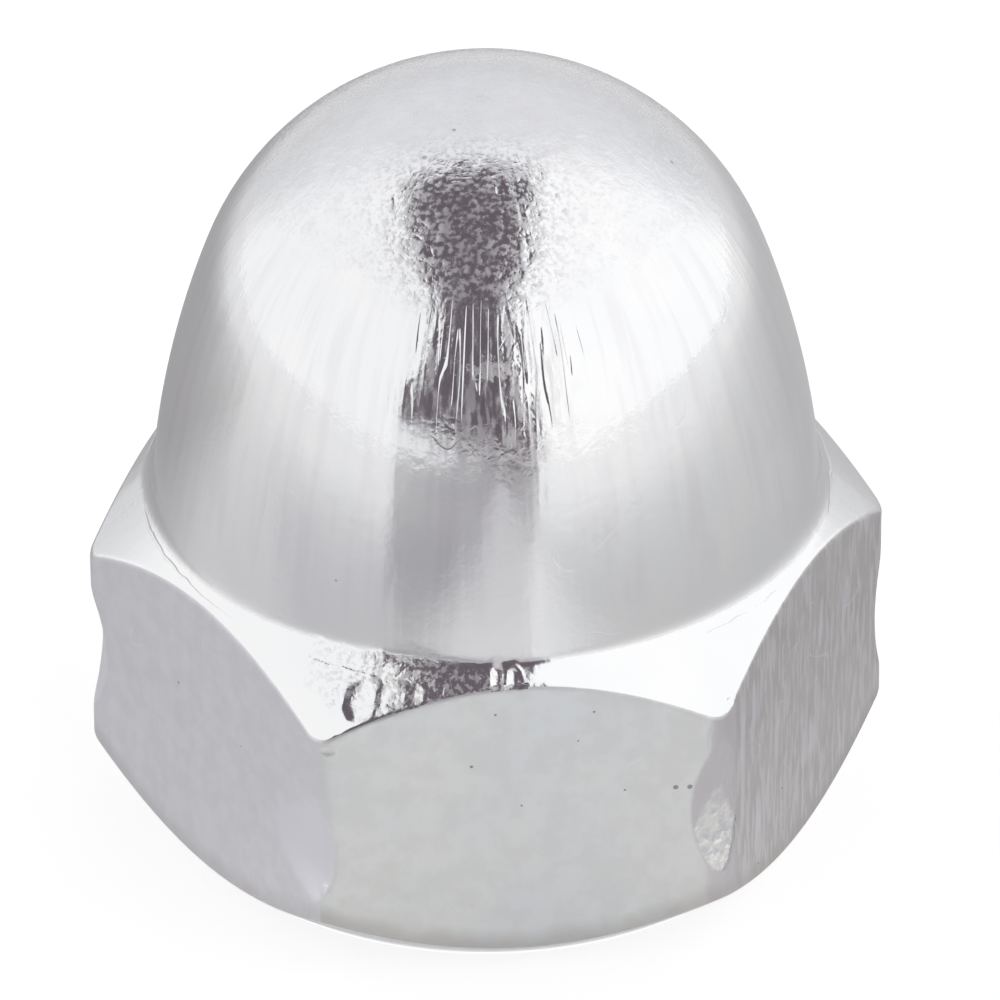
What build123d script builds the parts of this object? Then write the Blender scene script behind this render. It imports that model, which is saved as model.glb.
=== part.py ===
"""Hexagon domed cap nut, M8 x 1.25, cold formed in one piece from steel.

The nut stands on its bearing face with the dome up. The origin is the centre of the bearing face,
+Z runs up the thread axis, two flats face -Y and +Y, and two corners point along -X and +X.
All sizes are in millimetres and all angles in degrees.
"""

import os
from math import cos, radians, tan

from build123d import *

# Hexagon
across_flats = 13.0
corner_rounding = 0.53         # radius down the six upright edges
shoulder_height = 6.33         # where the upper chamfer leaves the middle of a flat
upper_chamfer_angle = 46.0     # from level
bearing_diameter = 12.0        # flat ring that the nut stands on
lower_chamfer_angle = 41.0     # from level
edge_softening = 0.12          # radius where the chamfers run out across the flats

# Dome
overall_height = 15.0
crown_radius = 5.55            # round top
crown_half_angle = 70.5        # how far down from the axis the round top reaches
flank_radius = 18.4            # slow curve from the round top to the upright root
root_fillet = 0.9              # hollow between the dome and the upper chamfer

# Hollows that forming left across the upright edges
hollow_count = 6
hollow_depth = 0.23
hollow_radius = 4.8
hollow_height = 3.15

# Blind hole, plain at the crests of the thread
thread_size = 8.0
thread_pitch = 1.25
crest_drop = 1.08              # a metric thread's crests close the hole by this many pitches
plain_depth = 11.0             # to the end of the plain wall
hole_end_angle = 140.0         # the punch that formed the hole had a blunt point
hole_end_rounding = 0.6
countersink_diameter = 8.6
countersink_angle = 120.0

flat_to_corner = cos(radians(30))
flat_radius = across_flats / 2
sharp_corner_radius = flat_radius / flat_to_corner
corner_radius = sharp_corner_radius - corner_rounding * (1 / flat_to_corner - 1)
bearing_radius = bearing_diameter / 2
crest_radius = (thread_size - crest_drop * thread_pitch) / 2


def turned_body():
    """The outside as a body of revolution, before the flats are formed."""
    crown = CenterArc((0, overall_height - crown_radius), crown_radius, 90, -crown_half_angle)
    flank = JernArc(crown @ 1, crown % 1, flank_radius, crown_half_angle - 90)
    root = flank @ 1
    dome = make_face([crown, flank, Polyline(root, (0, root.Y), (0, overall_height))])

    # The cones of the two chamfers meet outside the corners, and the collar's section ends there.
    upper_rise = tan(radians(upper_chamfer_angle))
    lower_rise = tan(radians(lower_chamfer_angle))
    cone_height = shoulder_height + flat_radius * upper_rise
    rim_radius = (cone_height + bearing_radius * lower_rise) / (upper_rise + lower_rise)
    rim_height = (rim_radius - bearing_radius) * lower_rise
    collar = make_face(
        Polyline(
            (0, 0),
            (bearing_radius, 0),
            (rim_radius, rim_height),
            (crest_radius, cone_height - crest_radius * upper_rise),
            (0, shoulder_height),
            (0, 0),
        )
    )
    section = dome + collar
    corner = section.vertices().sort_by_distance((root.X, shoulder_height))[0]
    return revolve(Plane.XZ * fillet(corner, root_fillet), Axis.Z)


def hexagon_bar():
    """Bar with rounded upright edges, and a corner on +X."""
    bar = extrude(RegularPolygon(sharp_corner_radius, 6), overall_height)
    return fillet(bar.edges().filter_by(Axis.Z), corner_rounding)


def edge_hollows():
    """Level rollers that leave a shallow hollow across each upright edge."""
    reach = corner_radius - hollow_depth + hollow_radius
    roller = Rot(X=90) * Cylinder(hollow_radius, across_flats)
    return [Pos(Z=hollow_height) * place * roller for place in PolarLocations(reach, hollow_count)]


def blind_hole():
    """The hole with its countersunk mouth and blunt, rounded end."""
    mouth_radius = countersink_diameter / 2
    mouth_depth = (mouth_radius - crest_radius) / tan(radians(countersink_angle / 2))
    end_depth = plain_depth + crest_radius / tan(radians(hole_end_angle / 2))
    section = make_face(
        Polyline(
            (0, 0),
            (mouth_radius, 0),
            (crest_radius, mouth_depth),
            (crest_radius, plain_depth),
            (0, end_depth),
            (0, 0),
        )
    )
    end_corner = section.vertices().sort_by_distance((crest_radius, plain_depth))[0]
    return revolve(Plane.XZ * fillet(end_corner, hole_end_rounding), Axis.Z)


def ends_a_chamfer(edge):
    """A chamfer ends in a hyperbola on each flat, and in a free curve on each rounded corner."""
    return edge.geom_type in (GeomType.HYPERBOLA, GeomType.BSPLINE)


def cap_nut():
    outside = turned_body() & hexagon_bar()
    outside = fillet(outside.edges().filter_by(ends_a_chamfer), edge_softening)
    return outside - edge_hollows() - blind_hole()


os.makedirs("parts", exist_ok=True)
export_step(cap_nut(), "parts/cap_nut.step")
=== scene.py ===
import bpy
from math import atan2, cos, degrees, hypot, pi, radians, sin, sqrt, tan
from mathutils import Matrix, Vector, noise


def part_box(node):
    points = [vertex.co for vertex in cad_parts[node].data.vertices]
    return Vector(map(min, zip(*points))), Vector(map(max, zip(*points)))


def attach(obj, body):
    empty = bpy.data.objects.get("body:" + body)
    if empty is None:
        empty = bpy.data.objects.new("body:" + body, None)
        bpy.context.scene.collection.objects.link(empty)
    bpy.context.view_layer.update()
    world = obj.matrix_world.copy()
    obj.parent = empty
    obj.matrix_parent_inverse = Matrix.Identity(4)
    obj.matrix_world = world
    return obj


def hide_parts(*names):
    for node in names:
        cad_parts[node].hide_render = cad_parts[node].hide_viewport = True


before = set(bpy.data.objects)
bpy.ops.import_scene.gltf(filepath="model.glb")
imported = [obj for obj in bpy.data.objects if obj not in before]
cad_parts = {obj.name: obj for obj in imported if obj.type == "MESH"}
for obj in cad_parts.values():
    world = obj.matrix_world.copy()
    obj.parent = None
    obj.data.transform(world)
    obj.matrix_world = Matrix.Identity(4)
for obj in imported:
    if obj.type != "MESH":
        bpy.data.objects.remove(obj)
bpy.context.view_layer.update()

mm = 0.001

# everything on the nut is worked in millimetres and scaled to metres at the end

nut = {
    "acrossFlats": 13.0,
    "height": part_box("cap_nut")[1][2] / mm,
    "cornerRounding": 0.53,
    "shoulderHeight": 6.33,
    "upperChamfer": radians(46),
    "lowerChamfer": radians(41),
    "bearingRadius": 6.0,
    "crownRadius": 5.55,
    "crownHalfAngle": radians(70.5),
    "flankRadius": 18.4,
    "rootFillet": 0.9,
    "rimSoftness": 0.07,  # how far each worn edge is rounded back
    "lowerEdgeSoftness": 0.07,
    "upperEdgeSoftness": 0.09,
    "columns": 480,
    "crowding": 0.6,  # columns gather at the six corners
    "evenRings": 0.2,  # the rest of the rings' spacing gathers them at both ends of a stretch
    "smoothAngle": radians(32),
}

# rings of the blank, from the hole's mouth round the outside to the crown
ringCounts = {
    "bearingFace": 3,
    "rim": 3,
    "lowerChamfer": 9,
    "lowerEdge": 4,
    "side": 40,
    "upperEdge": 5,
    "upperChamfer": 10,
    "rootFillet": 10,
    "flank": 28,
    "crown": 34,
}

# the hollow that forming left across each upright edge, by the corner's angle in degrees
hollows = [
    {"corner": 0, "height": 3.1, "depth": 0.16, "radius": 5.0, "lean": radians(4)},
    {"corner": 60, "height": 3.15, "depth": 0.21, "radius": 4.6, "lean": radians(-6)},
    {"corner": 120, "height": 3.2, "depth": 0.22, "radius": 4.4, "lean": radians(8)},
    {"corner": 180, "height": 3.24, "depth": 0.235, "radius": 3.6, "lean": 0},
    {"corner": 240, "height": 2.8, "depth": 0.19, "radius": 2.9, "lean": radians(-20)},
    {"corner": 300, "height": 3.3, "depth": 0.24, "radius": 4.8, "lean": 0},
]

hole = {
    "pitch": 1.25,
    "crestRadius": 3.325,
    "rootRadius": 4.0,
    "mouthRadius": 4.3,
    "mouthAngle": radians(60),  # half of the countersink
    "wallTop": 10.58,
    "endRounding": 0.6,
    "endSteps": 5,
    "endAngle": radians(70),  # half of the blunt point
    "endShares": (0.6, 0.3, 0.1),  # rings on the blunt end, as shares of its radius
    "crestTo": 0.25,  # shares of one pitch where the crest ends and the root begins and ends
    "rootFrom": 0.5625,
    "rootTo": 0.6875,
    "threadPoints": (0, 0.125, 0.25, 0.354, 0.458, 0.5625, 0.625, 0.6875, 0.7917, 0.8958),
    "runout": 1.6,
    "runoutEnd": 0.5,  # how far under the wall's top the thread has run out
    "columns": 144,
    "ledge": 4.6,  # radius where the hole's mesh meets the bearing face
}

# the unevenness that forming left
uneven = {
    "hollowBlend": 0.03,  # how softly a hollow runs out into the wall
    "rough": 0.03,  # roughness in the hollows, and how fast it changes round the nut and up it
    "roughAround": 18,
    "roughUp": 2.6,
    "roughPlace": 4,  # which part of the noise is read
    "roughGain": 3,  # a hollow is fully rough where it is a third of a millimetre deep
    "wave": 0.012,  # slow waves in the flats
    "waveAround": 2.6,
    "waveUp": 0.4,
}

flatRadius = nut["acrossFlats"] / 2
mergeWithin = 0.001  # points nearer than this become one
onLevel = 0.0005  # a point this near a height lies on it
slack = 0.01  # added to a radius so that the points on it are taken too
nearlyWhole = 0.999  # past this share of the way to the next ring, a point belongs to that ring

# knocks and dents: where they are, how wide and long they are along the surface, how far they go
# in, or stand out where that is negative, and how far a lip is pushed up round them
marks = [
    {"angle": -115.8, "height": 6.0, "wide": 0.27, "tall": 0.44, "depth": 0.05, "lip": 0.012},
    {"angle": -112.2, "height": 6.15, "wide": 0.16, "tall": 0.2, "depth": 0.02, "lip": 0},
    {"angle": -109.6, "height": 6.3, "wide": 0.2, "tall": 0.14, "depth": -0.014, "lip": 0},
    {"angle": -107.0, "height": 6.2, "wide": 0.15, "tall": 0.25, "depth": 0.018, "lip": 0.004},
    {"angle": -99.5, "height": 6.5, "wide": 0.3, "tall": 0.1, "depth": 0.012, "lip": 0.004},
    {"angle": -93.6, "height": 6.45, "wide": 0.13, "tall": 0.3, "depth": 0.035, "lip": 0.006},
    {"angle": -91.0, "height": 6.42, "wide": 0.12, "tall": 0.28, "depth": 0.035, "lip": 0.006},
    {"angle": -118.7, "height": 5.15, "wide": 0.15, "tall": 0.1, "depth": 0.022, "lip": 0.004},
    {"angle": -119.4, "height": 1.92, "wide": 0.13, "tall": 0.17, "depth": -0.024, "lip": 0},
    {"angle": -117.6, "height": 1.75, "wide": 0.2, "tall": 0.1, "depth": 0.015, "lip": 0},
    {"angle": -57.8, "height": 5.52, "wide": 0.07, "tall": 0.1, "depth": 0.03, "lip": 0.004},
    {"angle": -88.6, "height": 14.51, "wide": 0.11, "tall": 0.08, "depth": 0.012, "lip": 0.01},
    {"angle": -82.0, "height": 14.24, "wide": 0.07, "tall": 0.07, "depth": 0.01, "lip": 0.006},
    {"angle": -94.9, "height": 12.2, "wide": 0.42, "tall": 0.2, "depth": 0.006, "lip": 0},
    {"angle": -123.6, "height": 14.57, "wide": 0.22, "tall": 0.09, "depth": 0.008, "lip": 0.006},
    {"angle": 62.0, "height": 5.6, "wide": 0.22, "tall": 0.2, "depth": 0.05, "lip": 0.01},
    {"angle": 118.0, "height": 1.9, "wide": 0.2, "tall": 0.25, "depth": 0.05, "lip": 0.01},
]

# what all the marks share
markShape = {
    "nearAround": 0.4,  # radians and millimetres past which a mark does nothing
    "nearUp": 1,
    "fineMesh": 1.7,  # the finer mesh reaches this many times a mark's size
    "leastRing": 0.02,
    "ragged": 0.35,
    "raggedScale": 1.3,
    "lipFrom": 0.7,  # shares of a mark's size where its lip begins and how wide it is
    "lipWidth": 0.9,
    "leanFrom": 1.2,  # marks begin to press downwards this far below the shoulder
    "leanOver": 9,
}


def editOnly(piece):
    if bpy.context.mode != 'OBJECT':
        bpy.ops.object.mode_set(mode='OBJECT')
    bpy.ops.object.select_all(action='DESELECT')
    piece.select_set(True)
    bpy.context.view_layer.objects.active = piece


def clearSelection(piece, kind='VERT'):
    editOnly(piece)
    bpy.ops.object.mode_set(mode='EDIT')
    bpy.ops.mesh.select_mode(type=kind)
    bpy.ops.mesh.select_all(action='DESELECT')
    bpy.ops.object.mode_set(mode='OBJECT')


def wallRadius(angle):
    # distance from the axis to the hexagon's wall, with its corners rounded
    off = abs((angle + pi / 6) % (pi / 3) - pi / 6)
    rounding = nut["cornerRounding"]
    centre = (flatRadius - rounding) / cos(pi / 6)
    reach = atan2(rounding * sin(pi / 6), centre + rounding * cos(pi / 6))
    if off < reach:
        return centre * cos(off) + sqrt(rounding ** 2 - (centre * sin(off)) ** 2)
    return flatRadius / cos(pi / 6 - off)


def softMin(a, b, blend):
    mix = max(blend - abs(a - b), 0) / blend
    return min(a, b) - mix * mix * blend / 4


def hollowDepth(angle, height, wall):
    # how far the nearest hollow cuts in under the wall at this angle; the hollows stand in the
    # order of their corners
    item = hollows[round(degrees(angle) / 60) % 6]
    off = angle - radians(item["corner"])
    floor = wallRadius(0) - item["depth"] + (height - item["height"]) ** 2 / (2 * item["radius"])
    leaning = floor * cos(item["lean"]) / cos(off - item["lean"])
    return wall - softMin(wall, leaning, uneven["hollowBlend"])


def domeArcs():
    # centre and angles of the flank arc and the root fillet, worked out from the sizes
    crown, flank, fillet = nut["crownRadius"], nut["flankRadius"], nut["rootFillet"]
    turn, slope = nut["crownHalfAngle"], nut["upperChamfer"]
    flankX = (crown - flank) * sin(turn)
    flankZ = nut["height"] - crown + (crown - flank) * cos(turn)
    # the fillet's centre is one radius off the cone and off the flank
    base = nut["shoulderHeight"] + flatRadius * tan(slope) + fillet / cos(slope)
    a = 1 + tan(slope) ** 2
    b = -2 * flankX - 2 * tan(slope) * (base - flankZ)
    c = flankX ** 2 + (base - flankZ) ** 2 - (flank + fillet) ** 2
    filletX = (-b + sqrt(b * b - 4 * a * c)) / (2 * a)
    filletZ = base - tan(slope) * filletX
    toFlank = atan2(flankZ - filletZ, flankX - filletX)
    return flankX, flankZ, filletX, filletZ, toFlank % (2 * pi)


flankX, flankZ, filletX, filletZ, filletTurn = domeArcs()
coneTurn = 1.5 * pi - nut["upperChamfer"]  # direction from the fillet's centre to the chamfer


def roundedCorner(before, corner, after, softness, t):
    start = corner + (before - corner).normalized() * softness
    end = corner + (after - corner).normalized() * softness
    return start * (1 - t) ** 2 + corner * 2 * t * (1 - t) + end * t * t


def towards(a, b, softnessA, softnessB, t):
    # rings stand closer together near both ends of a straight stretch
    run = (b - a).normalized()
    even = nut["evenRings"]
    t = even * t + (1 - even) * (1 - cos(pi * t)) / 2
    return (a + run * softnessA).lerp(b - run * softnessB, t)


def outlinePoint(angle, zone, t):
    # radius and height on the outside of the nut, at one angle
    wall = wallRadius(angle)
    ledge = Vector((hole["ledge"], 0))
    rim = Vector((nut["bearingRadius"], 0))
    lower = Vector((wall, (wall - nut["bearingRadius"]) * tan(nut["lowerChamfer"])))
    upper = Vector((wall, nut["shoulderHeight"] - (wall - flatRadius) * tan(nut["upperChamfer"])))
    fillet = nut["rootFillet"]
    root = Vector((filletX + fillet * cos(coneTurn), filletZ + fillet * sin(coneTurn)))
    rimSoft, lowSoft, topSoft = nut["rimSoftness"], nut["lowerEdgeSoftness"], nut["upperEdgeSoftness"]
    if zone == "bearingFace":
        return towards(ledge, rim, 0, rimSoft, t)
    if zone == "rim":
        return roundedCorner(ledge, rim, lower, rimSoft, t)
    if zone == "lowerChamfer":
        return towards(rim, lower, rimSoft, lowSoft, t)
    if zone == "lowerEdge":
        return roundedCorner(rim, lower, upper, lowSoft, t)
    if zone == "side":
        return towards(lower, upper, lowSoft, topSoft, t)
    if zone == "upperEdge":
        return roundedCorner(lower, upper, root, topSoft, t)
    if zone == "upperChamfer":
        return towards(upper, root, topSoft, 0, t)
    if zone == "rootFillet":
        turn = coneTurn + (filletTurn - coneTurn) * t
        return Vector((filletX + fillet * cos(turn), filletZ + fillet * sin(turn)))
    if zone == "flank":
        start = filletTurn - pi
        turn = start + (pi / 2 - nut["crownHalfAngle"] - start) * t
        return Vector((flankX + nut["flankRadius"] * cos(turn), flankZ + nut["flankRadius"] * sin(turn)))
    turn = pi / 2 - nut["crownHalfAngle"] * (1 - t)
    radius = nut["crownRadius"]
    return Vector((radius * cos(turn), nut["height"] - radius + radius * sin(turn)))


stations = []
for zoneName, zoneRings in ringCounts.items():
    stations += [(zoneName, step / zoneRings) for step in range(zoneRings)]
stations.append(("crown", 1))


def crowded(angle):
    # columns stand closer together at the six corners
    return angle - nut["crowding"] * sin(6 * angle) / 6


def spotOnBlank(angle, ring):
    # the outside, and the zone it lies in, at one angle and any whole or part ring of the blank
    below = min(int(ring), len(stations) - 2)
    first = outlinePoint(angle, *stations[below])
    second = outlinePoint(angle, *stations[below + 1])
    part = ring - below
    zone = stations[below if part < nearlyWhole else below + 1][0]
    return first.lerp(second, part), zone


def ringAt(angle, height):
    # the ring of the blank that ends up at this height
    firstRing = ringCounts["bearingFace"]
    rings = range(firstRing, len(stations))
    return min(rings, key=lambda ring: abs(outlinePoint(angle, *stations[ring]).y - height))


def placeMarks():
    # the ring, the spot on the outline and the reach of each mark
    for mark in marks:
        angle = radians(mark["angle"])
        ring = ringAt(angle, mark["height"])
        mark["ring"] = ring
        mark["spot"] = outlinePoint(angle, *stations[ring])
        below = outlinePoint(angle, *stations[ring - 1])
        size = max(mark["wide"], mark["tall"]) * markShape["fineMesh"]
        mark["turn"] = size / mark["spot"].x
        mark["rings"] = size / max((mark["spot"] - below).length, markShape["leastRing"])


def turnFrom(angle, mark):
    return (angle - radians(mark["angle"]) + pi) % (2 * pi) - pi


def refineMarks(blank):
    # a finer mesh where a mark goes
    last = len(stations) - 1
    clearSelection(blank, 'FACE')
    for face in blank.data.polygons:
        angle = crowded(atan2(face.center.y, face.center.x))
        ring = face.center.z * last
        for mark in marks:
            around = turnFrom(angle, mark) / mark["turn"]
            if hypot(around, (ring - mark["ring"]) / mark["rings"]) < 1:
                face.select = True
    bpy.ops.object.mode_set(mode='EDIT')
    bpy.ops.mesh.subdivide(number_cuts=2)
    bpy.ops.object.mode_set(mode='OBJECT')


def markDepth(angle, spot):
    # how far the marks press the surface in at this spot
    total = 0
    for mark in marks:
        off = turnFrom(angle, mark)
        if abs(off) > markShape["nearAround"] or abs(spot.y - mark["height"]) > markShape["nearUp"]:
            continue
        along = off * spot.x / mark["wide"]
        up = (spot - mark["spot"]).length / mark["tall"]
        scale = markShape["raggedScale"]
        chance = noise.noise(Vector((along * scale, up * scale, mark["height"])))
        reach = hypot(along, up) * (1 + markShape["ragged"] * chance)
        if reach < 1:
            total += mark["depth"] * (1 - reach ** 2) ** 1.5
        lip = (reach - markShape["lipFrom"]) / markShape["lipWidth"]
        if 0 < lip < 1:
            total -= mark["lip"] * sin(pi * lip)
    return total


def turnBlank():
    # a plain tube with all the rings and columns the nut needs
    rings = sum(ringCounts.values())
    bpy.ops.mesh.primitive_cylinder_add(vertices=nut["columns"], radius=1, depth=1,
                                        end_fill_type='NOTHING', location=(0, 0, 0.5))
    blank = bpy.context.object
    blank.name = "capNutBody"
    editOnly(blank)
    bpy.ops.object.transform_apply(location=True, rotation=True, scale=True)
    clearSelection(blank, 'EDGE')
    # only the long edges are cut
    verts = blank.data.vertices
    for edge in blank.data.edges:
        edge.select = abs(verts[edge.vertices[0]].co.z - verts[edge.vertices[1]].co.z) > 0.5
    bpy.ops.object.mode_set(mode='EDIT')
    bpy.ops.mesh.subdivide(number_cuts=rings - 1)
    bpy.ops.object.mode_set(mode='OBJECT')
    return blank


def formNut(blank):
    # presses the tube into the nut's outside, ring by ring
    last = len(stations) - 1
    hollowed = blank.data.attributes.new("hollow", 'FLOAT', 'POINT').data
    for vertex in blank.data.vertices:
        angle = crowded(atan2(vertex.co.y, vertex.co.x))
        spot, zone = spotOnBlank(angle, vertex.co.z * last)
        radius = spot.x
        if zone in ("side", "lowerEdge", "upperEdge", "lowerChamfer", "upperChamfer"):
            cut = hollowDepth(angle, spot.y, radius)
            at = (angle * uneven["roughAround"], spot.y * uneven["roughUp"], uneven["roughPlace"])
            rough = noise.noise(Vector(at)) * uneven["rough"]
            radius -= cut + min(cut * uneven["roughGain"], 1) * rough
            hollowed[vertex.index].value = cut
        if zone == "side":
            around = uneven["waveAround"]
            at = (cos(angle) * around, sin(angle) * around, spot.y * uneven["waveUp"])
            radius += noise.noise(Vector(at)) * uneven["wave"]
        # a mark goes in square to the surface: level on the flats, downwards on the dome's top
        sunk = markDepth(angle, spot)
        rise = spot.y - nut["shoulderHeight"] + markShape["leanFrom"]
        lean = 0 if zone == "side" else min(max(rise / markShape["leanOver"], 0), 1)
        radius -= sunk * (1 - lean)
        height = spot.y - sunk * lean
        vertex.co = (radius * cos(angle), radius * sin(angle), height)
    editOnly(blank)
    bpy.ops.object.mode_set(mode='EDIT')
    bpy.ops.mesh.select_all(action='SELECT')
    bpy.ops.mesh.remove_doubles(threshold=mergeWithin)
    bpy.ops.object.mode_set(mode='OBJECT')


def threadRadius(part):
    # one turn of the internal thread: crest, flank, root, flank
    crest, root = hole["crestRadius"], hole["rootRadius"]
    crestTo, rootFrom, rootTo = hole["crestTo"], hole["rootFrom"], hole["rootTo"]
    if part <= crestTo:
        return crest
    if part < rootFrom:
        return crest + (root - crest) * (part - crestTo) / (rootFrom - crestTo)
    if part <= rootTo:
        return root
    return root - (root - crest) * (part - rootTo) / (1 - rootTo)


def cutThread():
    # the wall of the hole: one upright line of thread, screwed round the axis, which starts a turn
    # below the mouth, ends above the wall and is then cut off level at both
    turns = int(hole["wallTop"] / hole["pitch"]) + 3
    points = []
    for turn in range(turns):
        for part in hole["threadPoints"]:
            points.append((threadRadius(part), 0, (turn - 1 + part) * hole["pitch"]))
    mesh = bpy.data.meshes.new("threadLine")
    mesh.from_pydata(points, [(i, i + 1) for i in range(len(points) - 1)], [])
    wall = bpy.data.objects.new("threadWall", mesh)
    bpy.context.scene.collection.objects.link(wall)
    editOnly(wall)
    screw = wall.modifiers.new("screw", 'SCREW')
    screw.axis = 'Z'
    screw.angle = 2 * pi
    screw.screw_offset = hole["pitch"]
    screw.steps = screw.render_steps = hole["columns"]
    bpy.ops.object.modifier_apply(modifier="screw")
    bpy.ops.object.mode_set(mode='EDIT')
    bpy.ops.mesh.select_all(action='SELECT')
    bpy.ops.mesh.remove_doubles(threshold=mergeWithin)
    for height, keepUpper in ((0, True), (hole["wallTop"], False)):
        bpy.ops.mesh.select_all(action='SELECT')
        bpy.ops.mesh.bisect(plane_co=(0, 0, height), plane_no=(0, 0, 1),
                            clear_inner=keepUpper, clear_outer=not keepUpper)
    bpy.ops.object.mode_set(mode='OBJECT')
    crest = hole["crestRadius"]
    for vertex in wall.data.vertices:
        radius = hypot(vertex.co.x, vertex.co.y)
        fade = min(max((hole["wallTop"] - hole["runoutEnd"] - vertex.co.z) / hole["runout"], 0), 1)
        wanted = crest + (radius - crest) * fade
        wanted = max(wanted, hole["mouthRadius"] - vertex.co.z * tan(hole["mouthAngle"]))
        vertex.co.x *= wanted / radius
        vertex.co.y *= wanted / radius
    closeHole(wall)
    return wall


def selectWhere(piece, test):
    clearSelection(piece)
    for vertex in piece.data.vertices:
        vertex.select = test(vertex.co)
    bpy.ops.object.mode_set(mode='EDIT')
    bpy.ops.mesh.select_mode(type='EDGE')


def closeHole(wall):
    # the rounded, blunt end, extruded ring by ring from the top of the wall
    top, rounding, slope = hole["wallTop"], hole["endRounding"], hole["endAngle"]
    crest = hole["crestRadius"]
    rings = []
    for step in range(1, hole["endSteps"] + 1):
        turn = slope * step / hole["endSteps"]
        rings.append((crest - rounding * (1 - cos(turn)), top + rounding * sin(turn)))
    edgeRadius, edgeHeight = rings[-1]
    tip = edgeHeight + edgeRadius / tan(slope)
    for share in hole["endShares"]:
        rings.append((edgeRadius * share, tip - edgeRadius * share / tan(slope)))
    selectWhere(wall, lambda co: abs(co.z - top) < onLevel)
    radius, height = crest, top
    for nextRadius, nextHeight in rings:
        rise = (0, 0, nextHeight - height)
        bpy.ops.mesh.extrude_edges_move(TRANSFORM_OT_translate={"value": rise})
        scale = nextRadius / radius
        bpy.ops.transform.resize(value=(scale, scale, 1), center_override=(0, 0, 0))
        radius, height = nextRadius, nextHeight
    bpy.ops.mesh.extrude_edges_move(TRANSFORM_OT_translate={"value": (0, 0, tip - height)})
    bpy.ops.mesh.merge(type='CENTER')
    bpy.ops.object.mode_set(mode='OBJECT')


def joinHole(body, wall):
    # bridges the hole's mouth to the bearing face, which closes the surface
    editOnly(wall)
    body.select_set(True)
    bpy.context.view_layer.objects.active = body
    bpy.ops.object.join()
    reach = hole["ledge"] + slack
    selectWhere(body, lambda co: abs(co.z) < onLevel and hypot(co.x, co.y) < reach)
    bpy.ops.mesh.bridge_edge_loops()
    bpy.ops.mesh.select_all(action='SELECT')
    bpy.ops.mesh.normals_make_consistent(inside=False)
    bpy.ops.object.mode_set(mode='OBJECT')


def toMetres(piece):
    editOnly(piece)
    piece.scale = (mm, mm, mm)
    bpy.ops.object.transform_apply(location=True, rotation=True, scale=True)


body = turnBlank()
placeMarks()
refineMarks(body)
formNut(body)
print("outside formed:", len(body.data.vertices), "points")
wall = cutThread()
joinHole(body, wall)
toMetres(body)
editOnly(body)
bpy.ops.object.shade_smooth_by_angle(angle=nut["smoothAngle"])
print("hole threaded and joined:", len(body.data.polygons), "faces")


# materials, worked in millimetres on the nut's own Object coordinates

patternLook = {
    "noiseRoughness": 0.55,
    "cellRoughness": 0.5,
    "lineEdge": 0.09,  # over how much of its noise a drawn line, or a break in a hairline, sets in
    "breakEdge": 0.08,
    "breakScale": 2.3,
    "leastPit": 0.4,
    "pitEdge": 0.6,
    "wobbleScale": 1.8,
}


def node(tree, kind, **values):
    made = tree.nodes.new(kind)
    for name, value in values.items():
        if name in ("operation", "data_type", "interpolation_type"):
            setattr(made, name, value)
        else:
            made.inputs[name.replace("_", " ")].default_value = value
    return made


def plug(tree, source, socket):
    # links an output, or sets a plain value
    if isinstance(source, (int, float, tuple)):
        socket.default_value = source
    else:
        tree.links.new(source, socket)


def maths(tree, operation, first, second=None):
    made = node(tree, "ShaderNodeMath", operation=operation)
    plug(tree, first, made.inputs[0])
    if second is not None:
        plug(tree, second, made.inputs[1])
    return made.outputs["Value"]


def times(tree, product, *others):
    for other in others:
        product = maths(tree, 'MULTIPLY', product, other)
    return product


def addUp(tree, *parts):
    # sum of pattern times amount
    total = None
    for pattern, amount in parts:
        share = times(tree, pattern, amount)
        total = share if total is None else maths(tree, 'ADD', total, share)
    return total


def centred(tree, pattern):
    # makes a pattern between 0 and 1 swing about 0
    return maths(tree, 'SUBTRACT', pattern, 0.5)


def softStep(tree, low, high, source):
    step = node(tree, "ShaderNodeMapRange", interpolation_type='SMOOTHSTEP', From_Min=low, From_Max=high)
    tree.links.new(source, step.inputs["Value"])
    return step.outputs["Result"]


def mixColour(tree, factor, first, second):
    made = node(tree, "ShaderNodeMix", data_type='RGBA')
    for socket, value in ((made.inputs[0], factor), (made.inputs[6], first), (made.inputs[7], second)):
        plug(tree, value, socket)
    return made.outputs[2]


def splitVector(tree, vector):
    split = node(tree, "ShaderNodeSeparateXYZ")
    tree.links.new(vector, split.inputs[0])
    return split.outputs


def newMaterial(name):
    made = bpy.data.materials.new(name)
    made.use_nodes = True
    made.node_tree.nodes.clear()
    return made, made.node_tree


def newGroup(name, inputs, outputs):
    group = bpy.data.node_groups.new(name, "ShaderNodeTree")
    group.interface.new_socket("Vector", in_out='INPUT', socket_type='NodeSocketVector')
    for title, value in inputs.items():
        socket = group.interface.new_socket(title, in_out='INPUT', socket_type='NodeSocketFloat')
        socket.default_value = value
    for title in outputs:
        group.interface.new_socket(title, in_out='OUTPUT', socket_type='NodeSocketFloat')
    return group, group.nodes.new("NodeGroupInput").outputs, group.nodes.new("NodeGroupOutput").inputs


def place(tree, group, vector, **values):
    # a group in a material, with its own values
    made = tree.nodes.new("ShaderNodeGroup")
    made.node_tree = group
    tree.links.new(vector, made.inputs["Vector"])
    for name, value in values.items():
        plug(tree, value, made.inputs[name])
    return made.outputs


def noiseIn(tree, vector, scale, detail):
    made = node(tree, "ShaderNodeTexNoise", Detail=detail, Roughness=patternLook["noiseRoughness"])
    tree.links.new(vector, made.inputs["Vector"])
    plug(tree, scale, made.inputs["Scale"])
    return made.outputs["Fac"]


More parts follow.
